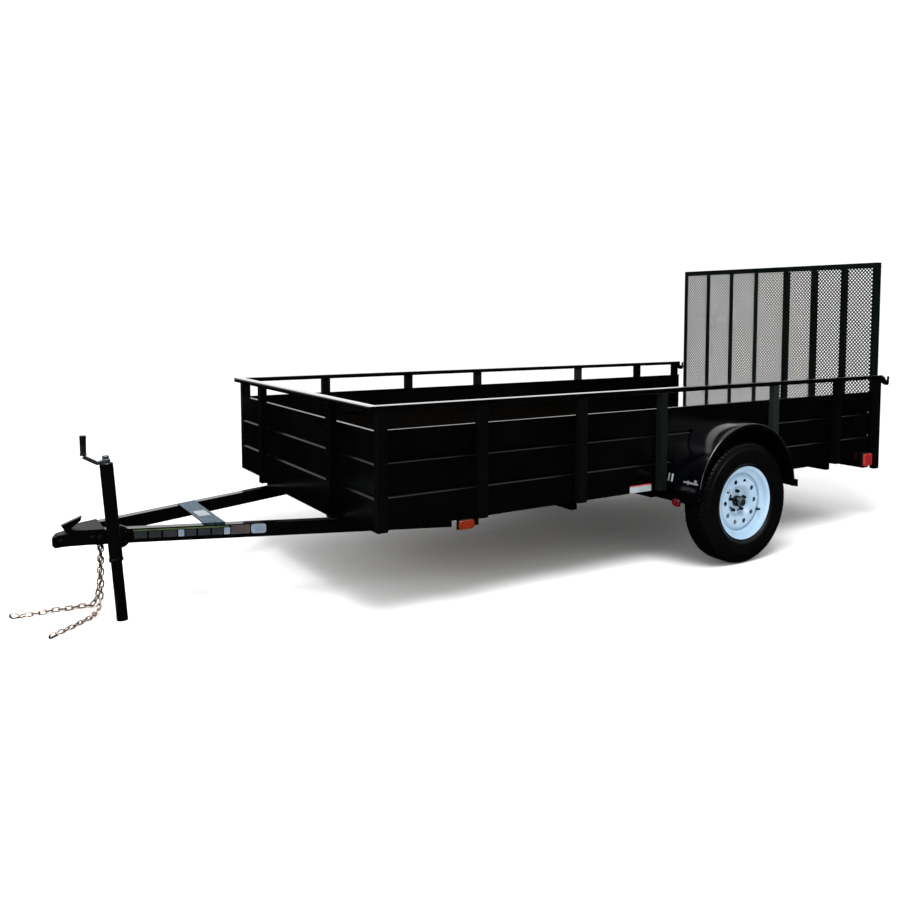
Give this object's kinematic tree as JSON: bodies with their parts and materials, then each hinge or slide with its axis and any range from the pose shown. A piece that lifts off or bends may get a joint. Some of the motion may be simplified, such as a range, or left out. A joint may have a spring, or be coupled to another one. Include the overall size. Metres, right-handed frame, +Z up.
{
  "type": "utility trailer",
  "caption": "Single-axle utility trailer with solid sides, an upper rail, a mesh ramp gate, an A-frame tongue, a swivel jack and safety chains.",
  "frame": {"origin": "centre of the bounding box on the ground", "axes": "+X to the rear (the gate), +Y to the right-hand side, +Z up"},
  "size_m": [5.128, 2.424, 1.756],
  "materials": {
    "black_paint": "gloss black powder coat",
    "wood": "treated pine boards",
    "zinc": "bright zinc plate",
    "yellow_zinc": "yellow zinc plated chain",
    "rubber": "black tyre rubber",
    "white_wheel": "white painted steel wheel",
    "mesh_steel": "expanded steel mesh, painted black",
    "grip": "black plastic",
    "amber": "amber lamp lens",
    "red": "red lamp lens",
    "spring_steel": "black painted spring steel",
    "plate_steel": "galvanised steel plate"
  },
  "bodies": {
    "frame": {"frame_rails": "black_paint", "front_sill": "black_paint", "rear_sill": "black_paint", "cross_members": "black_paint", "deck_boards": "wood", "left_wall": "black_paint", "right_wall": "black_paint", "front_wall": "black_paint", "side_posts": "black_paint", "front_posts": "black_paint", "front_top_rail": "black_paint", "side_top_rails": "black_paint", "tongue_beams": "black_paint", "tongue_plate": "plate_steel", "coupler": "black_paint", "coupler_latch": "zinc", "jack_bracket": "black_paint", "chain_anchor": "black_paint", "left_chain": "yellow_zinc", "right_chain": "yellow_zinc", "chain_hooks": "yellow_zinc", "gate_hinge_pins": "black_paint", "gate_latches": "zinc", "axle": "black_paint", "springs": "spring_steel", "spring_hangers": "black_paint", "axle_clamps": "black_paint", "lamp_brackets": "black_paint", "left_fender": "black_paint", "right_fender": "black_paint", "fender_bars": "black_paint", "amber_markers": "amber", "red_markers": "red", "tail_lamps": "red"},
    "left_wheel": {"left_tyre": "rubber", "left_rim": "white_wheel", "left_hub": "zinc"},
    "right_wheel": {"right_tyre": "rubber", "right_rim": "white_wheel", "right_hub": "zinc"},
    "gate": {"gate_frame": "black_paint", "gate_uprights": "black_paint", "gate_mesh": "mesh_steel", "gate_hinge_sleeves": "black_paint"},
    "jack": {"jack_tube": "black_paint", "jack_crank": "zinc", "jack_grip": "grip"},
    "jack_foot": {"jack_ram": "black_paint"}
  },
  "joints": [
    {"name": "left_wheel_spin", "type": "hinge", "parent": "frame", "child": "left_wheel", "pos_m": [0.917, -1.11, 0.344], "axis": [0, 1, 0], "continuous": true},
    {"name": "right_wheel_spin", "type": "hinge", "parent": "frame", "child": "right_wheel", "pos_m": [0.917, 1.11, 0.344], "axis": [0, 1, 0], "continuous": true},
    {"name": "gate_swing", "type": "hinge", "parent": "frame", "child": "gate", "pos_m": [2.516, 0, 0.461], "axis": [0, 1, 0], "range_deg": [0, 109.5]},
    {"name": "jack_swivel", "type": "hinge", "parent": "frame", "child": "jack", "pos_m": [-2.16417, -0.21511, 0.368], "axis": [-0.377, -0.9262, 0], "range_deg": [0, 90]},
    {"name": "jack_slide", "type": "slide", "parent": "jack", "child": "jack_foot", "axis": [-0.068, 0, 0.9977], "range_m": [0, 0.25]}
  ]
}
